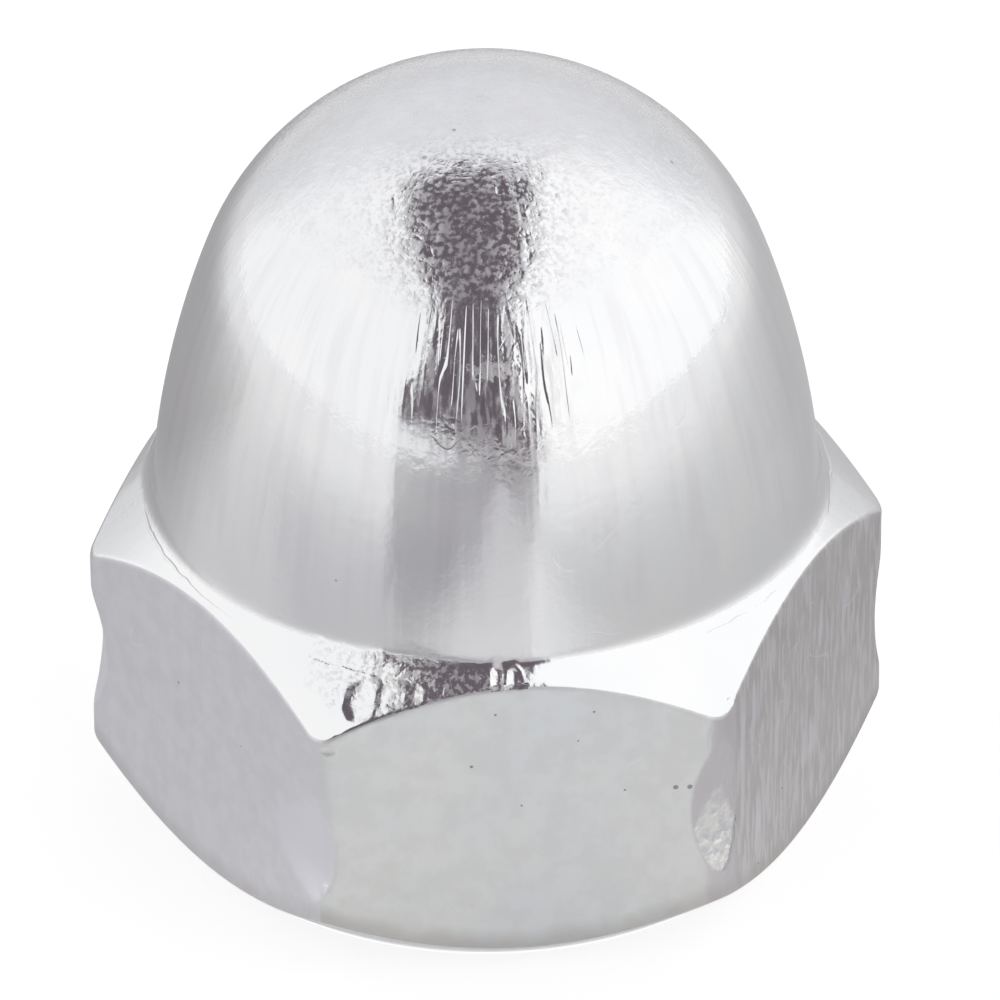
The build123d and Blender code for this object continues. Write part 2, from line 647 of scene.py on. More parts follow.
def stretchedVector(tree, vector, girth, stretch):
    # wraps the pattern round the axis and stretches it upwards
    x, y, z = splitVector(tree, vector)
    around = node(tree, "ShaderNodeCombineXYZ")
    tree.links.new(x, around.inputs["X"])
    tree.links.new(y, around.inputs["Y"])
    unit = node(tree, "ShaderNodeVectorMath", operation='NORMALIZE')
    tree.links.new(around.outputs[0], unit.inputs[0])
    wide = node(tree, "ShaderNodeVectorMath", operation='SCALE')
    tree.links.new(unit.outputs[0], wide.inputs[0])
    plug(tree, girth, wide.inputs["Scale"])
    upright = node(tree, "ShaderNodeCombineXYZ")
    tree.links.new(times(tree, z, stretch), upright.inputs["Z"])
    both = node(tree, "ShaderNodeVectorMath", operation='ADD')
    tree.links.new(wide.outputs[0], both.inputs[0])
    tree.links.new(upright.outputs[0], both.inputs[1])
    return both.outputs[0]


def drawLinesGroup():
    # upright lines left by the die: a fine grain and a few deep, bright ones
    group, given, result = newGroup("drawLines", {"girth": 6.2, "stretch": 0.15, "scale": 3,
                                                  "lineScale": 6, "rare": 0.62}, ["grain", "lines"])
    vector = stretchedVector(group, given["Vector"], given["girth"], given["stretch"])
    grain = noiseIn(group, vector, given["scale"], 2)
    picked = noiseIn(group, vector, given["lineScale"], 0)
    rise = maths(group, 'SUBTRACT', picked, given["rare"])
    lines = softStep(group, 0, patternLook["lineEdge"], rise)
    group.links.new(grain, result["grain"])
    group.links.new(lines, result["lines"])
    return group


def mottleGroup():
    # the uneven skin of the plating
    group, given, result = newGroup("mottle", {"scale": 4, "warp": 0.4}, ["cells"])
    made = node(group, "ShaderNodeTexNoise", Detail=2, Roughness=patternLook["cellRoughness"])
    group.links.new(given["Vector"], made.inputs["Vector"])
    group.links.new(given["scale"], made.inputs["Scale"])
    group.links.new(given["warp"], made.inputs["Distortion"])
    group.links.new(made.outputs["Fac"], result["cells"])
    return group


def pitsGroup():
    # scattered small pits of uneven size, most cells without one
    group, given, result = newGroup("pits", {"scale": 1, "size": 0.06, "share": 0.3}, ["pits"])
    cells = node(group, "ShaderNodeTexVoronoi")
    group.links.new(given["Vector"], cells.inputs["Vector"])
    group.links.new(given["scale"], cells.inputs["Scale"])
    chance = node(group, "ShaderNodeSeparateColor")
    group.links.new(cells.outputs["Color"], chance.inputs[0])
    chosen = maths(group, 'LESS_THAN', chance.outputs["Red"], given["share"])
    share = maths(group, 'ADD', chance.outputs["Green"], patternLook["leastPit"])
    size = times(group, given["size"], share)
    near = maths(group, 'DIVIDE', cells.outputs["Distance"], size)
    inside = softStep(group, 1, patternLook["pitEdge"], near)
    group.links.new(times(group, chosen, inside), result["pits"])
    return group


def hairlinesGroup():
    # thin curved scratches that come and go, along the middle line of a slow noise
    group, given, result = newGroup("hairlines", {"scale": 0.7, "width": 0.006, "amount": 0.55}, ["hairs"])
    path = noiseIn(group, given["Vector"], given["scale"], 1)
    off = maths(group, 'ABSOLUTE', centred(group, path))
    line = maths(group, 'SUBTRACT', 1, maths(group, 'DIVIDE', off, given["width"]))
    breakScale = times(group, given["scale"], patternLook["breakScale"])
    breaks = noiseIn(group, given["Vector"], breakScale, 0)
    rise = maths(group, 'SUBTRACT', breaks, given["amount"])
    shown = softStep(group, 0, patternLook["breakEdge"], rise)
    group.links.new(times(group, maths(group, 'MAXIMUM', line, 0), shown), result["hairs"])
    return group


def cloudsGroup():
    # slow change of tint over the plating
    group, given, result = newGroup("clouds", {"scale": 0.5, "contrast": 0.2}, ["cloud"])
    made = noiseIn(group, given["Vector"], given["scale"], 2)
    spread = maths(group, 'DIVIDE', centred(group, made), given["contrast"])
    group.links.new(softStep(group, -1, 1, spread), result["cloud"])
    return group


def patchGroup():
    # one soft-edged place on the piece, by its centre and half widths
    group, given, result = newGroup("patch", {"x": 0, "y": 0, "z": 0, "wide": 1, "tall": 1, "soft": 0.5,
                                              "wobble": 0, "ragged": 0.9}, ["patch"])
    total = 0.0
    for axis, along, size in zip("xyz", splitVector(group, given["Vector"]), ("wide", "wide", "tall")):
        off = maths(group, 'SUBTRACT', along, given[axis])
        off = maths(group, 'DIVIDE', off, given[size])
        total = maths(group, 'ADD', times(group, off, off), total)
    ragged = times(group, given["wobble"], given["ragged"])
    reach = maths(group, 'ADD', maths(group, 'SQRT', total), ragged)
    inside = maths(group, 'DIVIDE', maths(group, 'SUBTRACT', 1, reach), given["soft"])
    group.links.new(softStep(group, 0, 1, inside), result["patch"])
    return group


patch = patchGroup()
drawLines, mottle, pits = drawLinesGroup(), mottleGroup(), pitsGroup()
hairlines, clouds = hairlinesGroup(), cloudsGroup()


def metalVector(tree):
    # Object coordinates in millimetres
    coords = node(tree, "ShaderNodeTexCoord")
    scaled = node(tree, "ShaderNodeMapping", Scale=(1 / mm, 1 / mm, 1 / mm))
    tree.links.new(coords.outputs["Object"], scaled.inputs["Vector"])
    return scaled.outputs["Vector"]


def wobbleIn(tree, vector):
    # makes the borders of patches and lines wander
    return centred(tree, noiseIn(tree, vector, patternLook["wobbleScale"], 1))


def finishMetal(tree, colour, roughness, height):
    # colour, gloss and relief meet in one shader; heights are in millimetres
    bump = node(tree, "ShaderNodeBump", Strength=1, Distance=mm)
    tree.links.new(height, bump.inputs["Height"])
    shader = node(tree, "ShaderNodeBsdfPrincipled", Metallic=1)
    tree.links.new(colour, shader.inputs["Base Color"])
    tree.links.new(roughness, shader.inputs["Roughness"])
    tree.links.new(bump.outputs["Normal"], shader.inputs["Normal"])
    output = node(tree, "ShaderNodeOutputMaterial")
    tree.links.new(shader.outputs["BSDF"], output.inputs["Surface"])


# pairs are where a pattern or a height begins to count and where it counts in full
domeLook = {
    "tint": (0.86, 0.86, 0.865, 1),
    "otherTint": (0.83, 0.84, 0.855, 1),
    "tintClouds": {"scale": 0.45, "contrast": 0.16},
    "stain": (0.70, 0.68, 0.72, 1),
    "stainClouds": {"scale": 2.6, "contrast": 0.2},
    "stainMix": 0.2,
    "streaks": (0.45, 0.7),
    "streaksUp": (7.0, 8.0),
    "streakMix": 0.3,
    "crown": (12.7, 13.5),  # heights where the drawn wall gives way to the crown's skin
    "middle": (10.0, 11.2),
    "linesTop": (13.4, 12.6),
    "linesFoot": (10.9, 12.4),
    "skin": {"scale": 3.4, "warp": 0.5},
    "fineSkin": {"scale": 11.0, "warp": 0},
    "fineShare": 0.3,
    "drawn": {"girth": 6.2, "stretch": 0.10, "scale": 2.8, "lineScale": 6.4, "rare": 0.50},
    "wallSkin": {"girth": 6.2, "stretch": 0.32},
    "wallSkinScale": 6.0,
    "crownCells": 0.014,  # heights of the relief in mm
    "wallCells": 0.003,
    "midCells": 0.008,
    "crushedCells": 0.014,
    "wallLines": 0.013,
    "sideLines": 0.0015,
    "crownGrain": 0.004,
    "wallGrain": 0.006,
    "midGrain": 0.009,
    "hairDepth": 0.0012,
    "hairs": {"scale": 0.55, "width": 0.004, "amount": 0.6},
    "pits": {"scale": 1.5, "size": 0.07, "share": 0.18},
    "pitColour": (0.3, 0.28, 0.28, 1),
    "pitMix": 0.5,
    "crushed": {"x": -2.2, "y": -6.3, "z": 6.3, "wide": 2.6, "tall": 0.65, "soft": 0.4},
    "lightSpot": {"x": -0.35, "y": -4.8, "z": 12.2, "wide": 0.5, "tall": 0.2, "soft": 0.5, "ragged": 3.4},
    "deep": {"x": -0.2, "y": -4.8, "z": 12.0, "wide": 1.9, "tall": 2.0, "soft": 0.5},
    "crease": 6.43,  # height of the line outside the dome's root
    "creaseWander": 0.12,
    "creaseWidth": 0.04,
    "creaseBreaks": (0.42, 0.6),
    "creaseBreakScale": 0.35,
    "creaseDepth": 0.009,
    "roughness": 0.09,
    "dullSpots": 0.30,  # how much rougher the dull spots are, then the pits and the crushed place
    "pitDull": 0.2,
    "crushedDull": 0.05,
    "speckDull": 0.2,
    "crownSpots": (0.36, 0.66),
    "crownFine": 0.7,
    "crownCoarse": 0.3,
    "wallSpots": (0.38, 0.68),
    "deepSpots": 0.65,
    "upperSpots": 0.15,
    "upperSpotsUp": (7.2, 8.4),
    "crushedSpecks": (0.42, 0.62),
}


def domeMetal():
    look = domeLook
    made, tree = newMaterial("zincDome")
    vector = metalVector(tree)
    up = splitVector(tree, vector)["Z"]
    crown = softStep(tree, *look["crown"], up)
    wall = maths(tree, 'SUBTRACT', 1, crown)
    skin = place(tree, mottle, vector, **look["skin"])["cells"]
    fineSkin = place(tree, mottle, vector, **look["fineSkin"])["cells"]
    drawn = place(tree, drawLines, vector, **look["drawn"])
    wallSkin = noiseIn(tree, stretchedVector(tree, vector, **look["wallSkin"]), look["wallSkinScale"], 2)
    wobble = wobbleIn(tree, vector)
    small = place(tree, pits, vector, **look["pits"])["pits"]
    hair = place(tree, hairlines, vector, **look["hairs"])["hairs"]
    crushed = place(tree, patch, vector, wobble=wobble, **look["crushed"])["patch"]
    lightSpot = place(tree, patch, vector, wobble=centred(tree, fineSkin), **look["lightSpot"])["patch"]
    deep = place(tree, patch, vector, **look["deep"])["patch"]
    tintCloud = place(tree, clouds, vector, **look["tintClouds"])["cloud"]
    stains = place(tree, clouds, vector, **look["stainClouds"])["cloud"]
    # relief: cells on the crown, grain and lines on the wall, more of both in the deep place
    middle = times(tree, wall, deep, softStep(tree, *look["middle"], up))
    cells = addUp(tree, (crown, look["crownCells"]), (wall, look["wallCells"]),
                  (middle, look["midCells"]), (crushed, look["crushedCells"]))
    fineCells = times(tree, cells, look["fineShare"])
    grain = addUp(tree, (crown, look["crownGrain"]), (wall, look["wallGrain"]), (middle, look["midGrain"]))
    lined = times(tree, softStep(tree, *look["linesTop"], up), softStep(tree, *look["linesFoot"], up))
    lines = times(tree, lined, addUp(tree, (deep, look["wallLines"]), (1.0, look["sideLines"])))
    creasePath = addUp(tree, (wobble, look["creaseWander"]), (1.0, look["crease"]))
    creaseOff = maths(tree, 'ABSOLUTE', maths(tree, 'SUBTRACT', up, creasePath))
    creaseBreaks = noiseIn(tree, vector, look["creaseBreakScale"], 0)
    crease = times(tree, softStep(tree, look["creaseWidth"], 0, creaseOff),
                   softStep(tree, *look["creaseBreaks"], creaseBreaks))
    height = addUp(tree, (skin, cells), (fineSkin, fineCells), (drawn["grain"], grain),
                   (drawn["lines"], lines), (hair, -look["hairDepth"]), (crease, -look["creaseDepth"]))
    # colour: slow clouds of tint, stains on the crown, streaks down the wall, dark pits
    colour = mixColour(tree, tintCloud, look["tint"], look["otherTint"])
    worn = times(tree, stains, times(tree, crown, look["stainMix"]))
    colour = mixColour(tree, worn, colour, look["stain"])
    onWall = times(tree, wall, softStep(tree, *look["streaksUp"], up))
    streaks = times(tree, softStep(tree, *look["streaks"], drawn["grain"]), onWall)
    colour = mixColour(tree, times(tree, streaks, look["streakMix"]), colour, look["stain"])
    colour = mixColour(tree, times(tree, small, look["pitMix"]), colour, look["pitColour"])
    # dull spots in the bright plating: round ones on the crown, upright ones on the wall
    crownCells = addUp(tree, (fineSkin, look["crownFine"]), (skin, look["crownCoarse"]))
    crownSpots = times(tree, crown, softStep(tree, *look["crownSpots"], crownCells))
    upper = softStep(tree, *look["upperSpotsUp"], up)
    spotted = addUp(tree, (deep, look["deepSpots"]), (upper, look["upperSpots"]))
    wallSpots = times(tree, softStep(tree, *look["wallSpots"], wallSkin), spotted, wall)
    dull = maths(tree, 'MAXIMUM', maths(tree, 'ADD', crownSpots, wallSpots), lightSpot)
    speckled = times(tree, crushed, softStep(tree, *look["crushedSpecks"], fineSkin))
    rough = addUp(tree, (1.0, look["roughness"]), (dull, look["dullSpots"]), (small, look["pitDull"]),
                  (crushed, look["crushedDull"]), (speckled, look["speckDull"]))
    finishMetal(tree, colour, rough, height)
    return made


smoothFace = {
    "name": "zincSmoothFace", "tint": (0.82, 0.82, 0.85, 1), "otherTint": (0.80, 0.80, 0.835, 1),
    "stain": (0.68, 0.67, 0.70, 1), "foot": 0.35, "roughness": 0.36, "cells": 0.004,
    "grain": 0.005, "grainScale": 3.0, "stretch": 0.12, "lines": 0.0, "streakMix": 0.1, "stains": 0.2,
    "pits": 0.12, "hollowLeft": (0.82, 0.82, 0.865, 1), "hollowRight": (0.82, 0.82, 0.865, 1),
    "specks": [],
}
mottledFace = {
    "name": "zincMottledFace", "tint": (0.80, 0.815, 0.80, 1), "otherTint": (0.775, 0.80, 0.815, 1),
    "stain": (0.73, 0.73, 0.715, 1), "foot": 0.6, "roughness": 0.38, "cells": 0.005,
    "grain": 0.003, "grainScale": 2.4, "stretch": 0.06, "lines": 0.0, "streakMix": 0.06, "stains": 0.32,
    # its right-hand hollows are painted darker: painted shade where they turn from the light
    "pits": 0.2, "hollowLeft": (0.81, 0.81, 0.86, 1), "hollowRight": (0.66, 0.64, 0.665, 1),
    "specks": [(2.853, 3.9, 0.065), (3.114, 3.89, 0.06), (1.346, 5.71, 0.03), (1.053, 5.08, 0.03),
               (1.913, 3.91, 0.03)],  # x, z and size of the dark specks on the front face
}
# the right-hand flats: their drawn streaks are their own finish, but their tint and their hollows' tint,
# much darker than the other flats', are painted shade for the side turned from the light
shadedStreakyFace = {
    "name": "zincShadedStreakyFace", "tint": (0.60, 0.59, 0.58, 1), "otherTint": (0.56, 0.55, 0.545, 1),
    "stain": (0.72, 0.70, 0.71, 1), "foot": 0.6, "roughness": 0.33, "cells": 0.006,
    "grain": 0.022, "grainScale": 8.0, "stretch": 0.15, "lines": 0.5, "streakMix": 0.85, "stains": 0.3,
    "pits": 0.3, "hollowLeft": (0.66, 0.64, 0.665, 1), "hollowRight": (0.66, 0.64, 0.665, 1),
    "specks": [],
}

# what all the flats share
flatLook = {
    "skin": {"scale": 5.5, "warp": 0},
    "drawn": {"girth": 7.0, "lineScale": 4.0, "rare": 0.63},
    "lineColour": (0.80, 0.78, 0.84, 1),
    "streaks": (0.47, 0.60),
    "tintClouds": {"scale": 0.5, "contrast": 0.14},
    "stainClouds": {"scale": 2.4, "contrast": 0.12},
    "stainDull": 0.06,
    "pits": {"scale": 2, "size": 0.055},
    "pitColour": (0.22, 0.2, 0.2, 1),
    "pitMix": 0.75,
    "pitDull": 0.2,
    "speckSoft": 0.4,
    "hairs": {"scale": 0.5, "width": 0.004, "amount": 0.56},
    "hairColour": (0.93, 0.93, 0.92, 1),
    "hairMix": 0.35,
    "hollow": (0.002, 0.045),  # depths in mm over which a hollow's own tint sets in
    "rightOf": (-0.3, 0.3),
    # the front face's right upright edge, painted with the darker right-hand hollow tint: painted shade
    "edge": {"x": 3.74, "y": -6.3, "z": 3.2, "wide": 0.42, "tall": 12, "soft": 0.35},
    "crushed": {"x": 3.62, "y": -6.26, "z": 2.65, "wide": 0.62, "tall": 1.0, "soft": 0.3},
    "crumpleHeight": 0.045,
    "crumpleCells": (0.36, 0.60),
    "crumpleDark": (0.70, 0.69, 0.72, 1),
    "crumpleLight": (0.82, 0.82, 0.80, 1),
    # painted shade along the foot of each flat, standing for the reflected contact shadow; each finish's
    # foot sets how strong it is
    "footShadeColour": (0.50, 0.475, 0.455, 1),
    "footSlope": 0.87,  # rise of the lower chamfer
    "footWander": 0.25,
    "footFade": (0.55, 0.05),
}


def faceMetal(look):
    flat = flatLook
    made, tree = newMaterial(look["name"])
    vector = metalVector(tree)
    x, y, z = splitVector(tree, vector)
    skin = place(tree, mottle, vector, **flat["skin"])["cells"]
    drawn = place(tree, drawLines, vector, stretch=look["stretch"], scale=look["grainScale"],
                  **flat["drawn"])
    small = place(tree, pits, vector, share=look["pits"], **flat["pits"])["pits"]
    hair = place(tree, hairlines, vector, **flat["hairs"])["hairs"]
    tintCloud = place(tree, clouds, vector, **flat["tintClouds"])["cloud"]
    stains = place(tree, clouds, vector, **flat["stainClouds"])["cloud"]
    wobble = wobbleIn(tree, vector)
    crushed = place(tree, patch, vector, wobble=wobble, **flat["crushed"])["patch"]
    edge = place(tree, patch, vector, wobble=wobble, **flat["edge"])["patch"]
    hollow = node(tree, "ShaderNodeAttribute")
    hollow.attribute_name = "hollow"
    inHollow = softStep(tree, *flat["hollow"], hollow.outputs["Fac"])
    crumple = times(tree, crushed, inHollow)
    height = addUp(tree, (skin, look["cells"]), (drawn["grain"], look["grain"]),
                   (times(tree, crumple, skin), flat["crumpleHeight"]))
    colour = mixColour(tree, tintCloud, look["tint"], look["otherTint"])
    streaks = times(tree, softStep(tree, *flat["streaks"], drawn["grain"]), look["streakMix"])
    colour = mixColour(tree, streaks, colour, look["stain"])
    colour = mixColour(tree, times(tree, stains, look["stains"]), colour, look["stain"])
    colour = mixColour(tree, times(tree, drawn["lines"], look["lines"]), colour, flat["lineColour"])
    # the hollows and the right front edge take the hollows' tint, the metal's own lavender on the left
    # and, right of the middle, a darker tint that is painted shade where the nut turns from the light; the
    # crumpled place in them is darker and lighter by its cells
    onRight = softStep(tree, *flat["rightOf"], x)
    hollowTint = mixColour(tree, onRight, look["hollowLeft"], look["hollowRight"])
    crumpled = mixColour(tree, softStep(tree, *flat["crumpleCells"], skin), flat["crumpleDark"],
                         flat["crumpleLight"])
    hollowTint = mixColour(tree, crumple, hollowTint, crumpled)
    colour = mixColour(tree, edge, colour, hollowTint)
    colour = mixColour(tree, inHollow, colour, hollowTint)
    colour = mixColour(tree, times(tree, hair, flat["hairMix"]), colour, flat["hairColour"])
    # painted shade: the rim where a face meets the lower chamfer is darker and browner, standing for the
    # floor's contact shadow that the metal reflects there
    radius = maths(tree, 'SQRT', maths(tree, 'ADD', times(tree, x, x), times(tree, y, y)))
    lowCone = times(tree, maths(tree, 'SUBTRACT', radius, nut["bearingRadius"]), flat["footSlope"])
    wander = times(tree, wobble, flat["footWander"])
    overFoot = maths(tree, 'ADD', maths(tree, 'SUBTRACT', z, lowCone), wander)
    foot = times(tree, softStep(tree, *flat["footFade"], overFoot), look["foot"])
    colour = mixColour(tree, foot, colour, flat["footShadeColour"])
    specks = small
    for across, high, size in look["specks"]:
        speck = place(tree, patch, vector, x=across, y=-flatRadius, z=high, wide=size, tall=size,
                      soft=flat["speckSoft"], wobble=wobble)
        specks = maths(tree, 'MAXIMUM', specks, speck["patch"])
    colour = mixColour(tree, times(tree, specks, flat["pitMix"]), colour, flat["pitColour"])
    rough = addUp(tree, (1.0, look["roughness"]), (stains, flat["stainDull"]), (small, flat["pitDull"]))
    finishMetal(tree, colour, rough, height)
    return made


holeLook = {
    "tint": (0.78, 0.78, 0.79, 1),
    "otherTint": (0.70, 0.69, 0.71, 1),
    "tintClouds": {"scale": 0.8, "contrast": 0.15},
    "skin": {"scale": 3.0, "warp": 0.3},
    "skinHeight": 0.006,
    "pits": {"scale": 1.2, "size": 0.06, "share": 0.2},
    "pitColour": (0.3, 0.28, 0.27, 1),
    "pitMix": 0.6,
    "ringTurn": 62,  # the rings' phase grows by this many radians a millimetre
    "ringWander": 0.1,
    "ringHeight": 0.0016,
    "roughness": 0.26,
    "cloudDull": 0.08,
}


def holeMetal():
    # the tapped thread and the turned bearing face
    look = holeLook
    made, tree = newMaterial("zincHole")
    vector = metalVector(tree)
    skin = place(tree, mottle, vector, **look["skin"])["cells"]
    small = place(tree, pits, vector, **look["pits"])["pits"]
    tintCloud = place(tree, clouds, vector, **look["tintClouds"])["cloud"]
    flatVector = node(tree, "ShaderNodeVectorMath", operation='MULTIPLY')
    tree.links.new(vector, flatVector.inputs[0])
    flatVector.inputs[1].default_value = (1, 1, 0)
    reach = node(tree, "ShaderNodeVectorMath", operation='LENGTH')
    tree.links.new(flatVector.outputs[0], reach.inputs[0])
    wandering = addUp(tree, (reach.outputs["Value"], 1.0), (skin, look["ringWander"]))
    turned = maths(tree, 'SINE', times(tree, wandering, look["ringTurn"]))
    height = addUp(tree, (skin, look["skinHeight"]), (turned, look["ringHeight"]))
    colour = mixColour(tree, tintCloud, look["tint"], look["otherTint"])
    colour = mixColour(tree, times(tree, small, look["pitMix"]), colour, look["pitColour"])
    rough = addUp(tree, (1.0, look["roughness"]), (tintCloud, look["cloudDull"]))
    finishMetal(tree, colour, rough, height)
    return made


metals = [domeMetal(), faceMetal(smoothFace), faceMetal(mottledFace), faceMetal(shadedStreakyFace), holeMetal()]
# the first metal is the dome's, which every face has until it is sorted
smooth, mottled, shadedStreaky, bore = range(1, len(metals))
# the two right-hand flats take the finish with painted shade in its tint
faceFinishes = {-150: smooth, -90: mottled, -30: shadedStreaky, 30: shadedStreaky, 90: mottled, 150: smooth}
body.data.materials.clear()
for metal in metals:
    body.data.materials.append(metal)

finishBorders = {
    "foot": 0.01,  # the bearing face lies under this
    "boreReach": 0.8,  # the hole lies inside this share of the crown's radius, and under its top
    "boreTop": 12.3,
    "levelNormal": 0.38,  # a flat's normal points up or down by less than this
    "flatFoot": 0.3,
    "flatReach": 6.4,
}


def sortFaces(piece):
    # the dome and chamfers, each flat, and the hole with the bearing face have their own finish
    border = finishBorders
    for face in piece.data.polygons:
        centre = face.center / mm
        radius = hypot(centre.x, centre.y)
        inBore = radius < nut["crownRadius"] * border["boreReach"] and centre.z < border["boreTop"]
        beside = border["flatFoot"] < centre.z < nut["shoulderHeight"] and radius > border["flatReach"]
        if centre.z < border["foot"] or inBore:
            face.material_index = bore
        elif abs(face.normal.z) < border["levelNormal"] and beside:
            angle = degrees(atan2(centre.y, centre.x))
            sector = round((angle - 30) / 60) * 60 + 30
            face.material_index = faceFinishes[(sector + 180) % 360 - 180]


sortFaces(body)
print("plating laid on")
body.name = "cap_nut_body"
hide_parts("cap_nut")
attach(body, "root")

# stage

photoTurn = radians(5.43)  # the nut stands turned by this much under the camera

# directions are parts of a unit vector, and pairs are where something begins and is complete
tent = {
    "front": 0.79,
    "leftPanel": (1.06, 1.06, 1.06, 1),
    "rightPanel": (1.15, 1.15, 1.15, 1),
    "panelSeam": (-0.2, 0.2),
    "leastReach": 0.001,
    "slot": (0.145, 0.12, 0.14, 1),
    "slotLeft": -0.50,
    "slotRight": 0.27,
    "slotSoft": 0.02,
    "slotEnd": (0.36, 0.30),
    "waistLeft": 0.08,  # how far the slot's sides draw in part of the way up
    "waistRight": 0.08,
    "waistTop": (0.92, 0.74),
    "waistFootLeft": (0.25, 0.45),
    "waistFootRight": (0.05, 0.25),
    "strip": (0.95, 0.96, 0.97, 1),  # the edge of a sheet that shows low in the slot's left half
    "stripTop": 0.0,
    "stripSlope": 0.14,
    "stripSoft": 0.01,
    "back": (0.83, 0.835, 0.86, 1),
    "lowBack": (0.73, 0.73, 0.74, 1),
    "backUp": (0.05, 0.5),
    "backFrom": (0.52, 0.88),
    "backLean": 0.3,
    "below": (0.75, 0.75, 0.76, 1),  # seen only from beneath the floor
    "belowFrom": (-0.03, -0.08),
}


def edgeOf(middle, soft):
    # a soft edge's two ends, which turn round where soft is negative
    return middle - soft, middle + soft


def buildTent():
    # soft white panels left and right, an open slot between them above the camera
    world = bpy.data.worlds.new("lightTent")
    bpy.context.scene.world = world
    world.use_nodes = True
    tree = world.node_tree
    tree.nodes.clear()
    coords = node(tree, "ShaderNodeTexCoord")
    turned = node(tree, "ShaderNodeMapping", Rotation=(0, 0, photoTurn))
    tree.links.new(coords.outputs["Generated"], turned.inputs["Vector"])
    x, y, z = splitVector(tree, turned.outputs["Vector"])
    reach = maths(tree, 'MAXIMUM', z, maths(tree, 'DIVIDE', y, -tent["front"]))
    reach = maths(tree, 'MAXIMUM', reach, tent["leastReach"])
    across = maths(tree, 'DIVIDE', x, reach)
    waistTop = softStep(tree, *tent["waistTop"], z)
    leftWaist = times(tree, waistTop, softStep(tree, *tent["waistFootLeft"], z))
    rightWaist = times(tree, waistTop, softStep(tree, *tent["waistFootRight"], z))
    inLeft = softStep(tree, *edgeOf(tent["slotLeft"], tent["slotSoft"]),
                      addUp(tree, (across, 1.0), (leftWaist, -tent["waistLeft"])))
    inRight = softStep(tree, *edgeOf(tent["slotRight"], -tent["slotSoft"]),
                       addUp(tree, (across, 1.0), (rightWaist, tent["waistRight"])))
    behind = maths(tree, 'DIVIDE', y, reach)
    inSlot = times(tree, inLeft, inRight, softStep(tree, *tent["slotEnd"], behind))
    stripEdge = addUp(tree, (across, tent["stripSlope"]), (z, 1.0))
    lowStrip = softStep(tree, *edgeOf(tent["stripTop"], -tent["stripSoft"]), stripEdge)
    slot = mixColour(tree, lowStrip, tent["slot"], tent["strip"])
    panels = mixColour(tree, softStep(tree, *tent["panelSeam"], x), tent["leftPanel"], tent["rightPanel"])
    # the white reaches further back low down than it does overhead
    leaning = maths(tree, 'ADD', y, times(tree, z, tent["backLean"]))
    isBack = softStep(tree, *tent["backFrom"], leaning)
    back = mixColour(tree, softStep(tree, *tent["backUp"], z), tent["lowBack"], tent["back"])
    panels = mixColour(tree, isBack, panels, back)
    colour = mixColour(tree, inSlot, panels, slot)
    colour = mixColour(tree, softStep(tree, *tent["belowFrom"], z), colour, tent["below"])
    # the camera itself sees plain white
    path = node(tree, "ShaderNodeLightPath")
    colour = mixColour(tree, path.outputs["Is Camera Ray"], colour, (1, 1, 1, 1))
    background = node(tree, "ShaderNodeBackground")
    tree.links.new(colour, background.inputs["Color"])
    output = node(tree, "ShaderNodeOutputWorld")
    tree.links.new(background.outputs["Background"], output.inputs["Surface"])


# places and distances are in metres from the nut's axis
floorLook = {
    "reach": 0.8,
    "clear": 0.05,  # millimetres between the bearing face's rim and the floor's opening
    "points": 128,
    "seen": (0.36, 0.36, 0.36, 1),  # the share of the white that a shadow can darken
    "glow": (0.77, 0.77, 0.77, 1),
    "front": (0.80, 0.80, 0.80, 1),  # what the metal sees: a pale, faintly glossy table, with a painted shadow near the nut that differs by side
    "frontFrom": (0.014, 0.002),
    "middle": (0.014, 0.003),
    "rightFrom": (-0.01, 0.01),
    # painted shadow: darker floor colours round the nut, seen only in the metal's reflections
    "shadowLeftSide": (0.79, 0.785, 0.79, 1),
    "shadowFrontLeft": (0.67, 0.665, 0.68, 1),
    "frontLeftFrom": (-0.005, -0.012),
    "shadowRightSide": (0.67, 0.67, 0.67, 1),
    "shadowBehindLeft": (0.45, 0.44, 0.445, 1),
    "shadowBehindRight": (0.64, 0.63, 0.63, 1),
    "far": (0.97, 0.97, 0.97, 1),
    "farFrom": (0.03, 0.10),
    # painted glow: emission that lightens the floor in front of the nut where the metal reflects it
    "paintedGlow": 0.18,
    "gloss": 0.2,
}


def addShaders(tree, first, second):
    made = node(tree, "ShaderNodeAddShader")
    tree.links.new(first.outputs[0], made.inputs[0])
    tree.links.new(second.outputs[0], made.inputs[1])
    return made


def mixShaders(tree, factor, first, second):
    made = node(tree, "ShaderNodeMixShader")
    tree.links.new(factor, made.inputs[0])
    tree.links.new(first.outputs[0], made.inputs[1])
    tree.links.new(second.outputs[0], made.inputs[2])
    return made


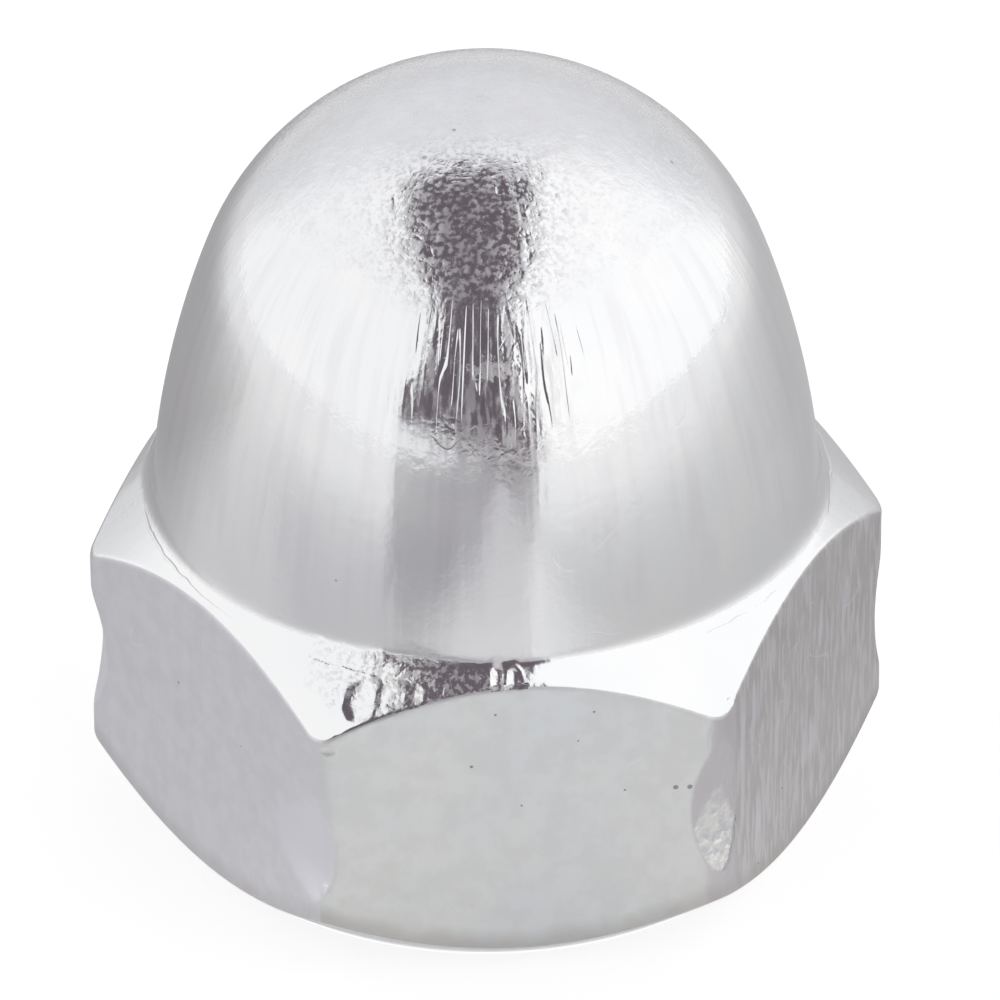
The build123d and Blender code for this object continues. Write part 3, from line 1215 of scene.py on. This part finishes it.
def floorMaterial():
    # the camera sees one pale floor; the metal sees a painted shadow round the nut, darker at the sides
    # and behind, and a painted glow in front; from beneath it is clear
    look = floorLook
    made, tree = newMaterial("paleFloor")
    coords = node(tree, "ShaderNodeTexCoord").outputs["Object"]
    x, y, z = splitVector(tree, coords)
    seen = node(tree, "ShaderNodeBsdfDiffuse", Color=look["seen"])
    glow = node(tree, "ShaderNodeEmission", Color=look["glow"])
    # painted shadow round the nut, by side, fading out to the far pale floor; seen only by rays that are
    # not the camera's
    inFront = softStep(tree, *look["frontFrom"], y)
    inMiddle = softStep(tree, *look["middle"], maths(tree, 'ABSOLUTE', x))
    toRight = softStep(tree, *look["rightFrom"], x)
    behind = mixColour(tree, toRight, look["shadowBehindLeft"], look["shadowBehindRight"])
    left = mixColour(tree, softStep(tree, *look["frontLeftFrom"], y), look["shadowLeftSide"], look["shadowFrontLeft"])
    sides = mixColour(tree, toRight, left, look["shadowRightSide"])
    front = mixColour(tree, inMiddle, sides, look["front"])
    near = mixColour(tree, inFront, behind, front)
    reach = node(tree, "ShaderNodeVectorMath", operation='LENGTH')
    tree.links.new(coords, reach.inputs[0])
    farOff = softStep(tree, *look["farFrom"], reach.outputs["Value"])
    table = node(tree, "ShaderNodeBsdfPrincipled", Roughness=look["gloss"])
    tree.links.new(mixColour(tree, farOff, near, look["far"]), table.inputs["Base Color"])
    # painted glow in front of the nut, seen only by rays that are not the camera's
    bright = node(tree, "ShaderNodeEmission", Color=(1, 1, 1, 1))
    tree.links.new(times(tree, inFront, inMiddle, look["paintedGlow"]), bright.inputs["Strength"])
    path = node(tree, "ShaderNodeLightPath")
    above = mixShaders(tree, path.outputs["Is Camera Ray"], addShaders(tree, table, bright),
                       addShaders(tree, seen, glow))
    side = node(tree, "ShaderNodeNewGeometry")
    clear = node(tree, "ShaderNodeBsdfTransparent")
    both = mixShaders(tree, side.outputs["Backfacing"], above, clear)
    output = node(tree, "ShaderNodeOutputMaterial")
    tree.links.new(both.outputs[0], output.inputs["Surface"])
    return made


def layFloor():
    # open under the bearing face, so that the nut can be looked at from beneath
    inner = (nut["bearingRadius"] + floorLook["clear"]) * mm
    bpy.ops.mesh.primitive_circle_add(vertices=floorLook["points"], radius=inner, location=(0, 0, 0))
    floor = bpy.context.object
    floor.name = "paleFloor"
    editOnly(floor)
    bpy.ops.object.mode_set(mode='EDIT')
    bpy.ops.mesh.select_all(action='SELECT')
    bpy.ops.mesh.extrude_edges_move()
    outwards = floorLook["reach"] / inner
    bpy.ops.transform.resize(value=(outwards, outwards, 1))
    bpy.ops.object.mode_set(mode='OBJECT')
    if floor.data.polygons[0].normal.z < 0:
        floor.data.flip_normals()
    floor.data.materials.append(floorMaterial())


cameraSet = {
    "turn": -photoTurn,
    "elevation": radians(34.62),
    "distance": 0.249,
    "lens": 481.4,
    "sensor": 36,
    "nearest": 0.01,
    "furthest": 10,
    "aimHeight": 0.0065,
    "aimRight": 0.000249,
    "aimDown": 0.000379,
    "roll": radians(-0.21),
}


def placeCamera():
    data = bpy.data.cameras.new("photoCamera")
    camera = bpy.data.objects.new("photoCamera", data)
    bpy.context.scene.collection.objects.link(camera)
    turn, up = cameraSet["turn"], cameraSet["elevation"]
    outward = Vector((sin(turn) * cos(up), -cos(turn) * cos(up), sin(up)))
    facing = outward.to_track_quat('Z', 'Y')
    right = facing @ Vector((1, 0, 0))
    upward = facing @ Vector((0, 1, 0))
    aim = Vector((0, 0, cameraSet["aimHeight"]))
    aim += right * cameraSet["aimRight"] - upward * cameraSet["aimDown"]
    camera.location = aim + outward * cameraSet["distance"]
    camera.rotation_euler = facing.to_euler()
    camera.rotation_euler.rotate_axis('Z', cameraSet["roll"])
    data.lens = cameraSet["lens"]
    data.sensor_width = cameraSet["sensor"]
    data.clip_start = cameraSet["nearest"]
    data.clip_end = cameraSet["furthest"]
    bpy.context.scene.camera = camera


buildTent()
layFloor()
placeCamera()
bpy.context.scene.view_settings.view_transform = 'Standard'
print("stage set")
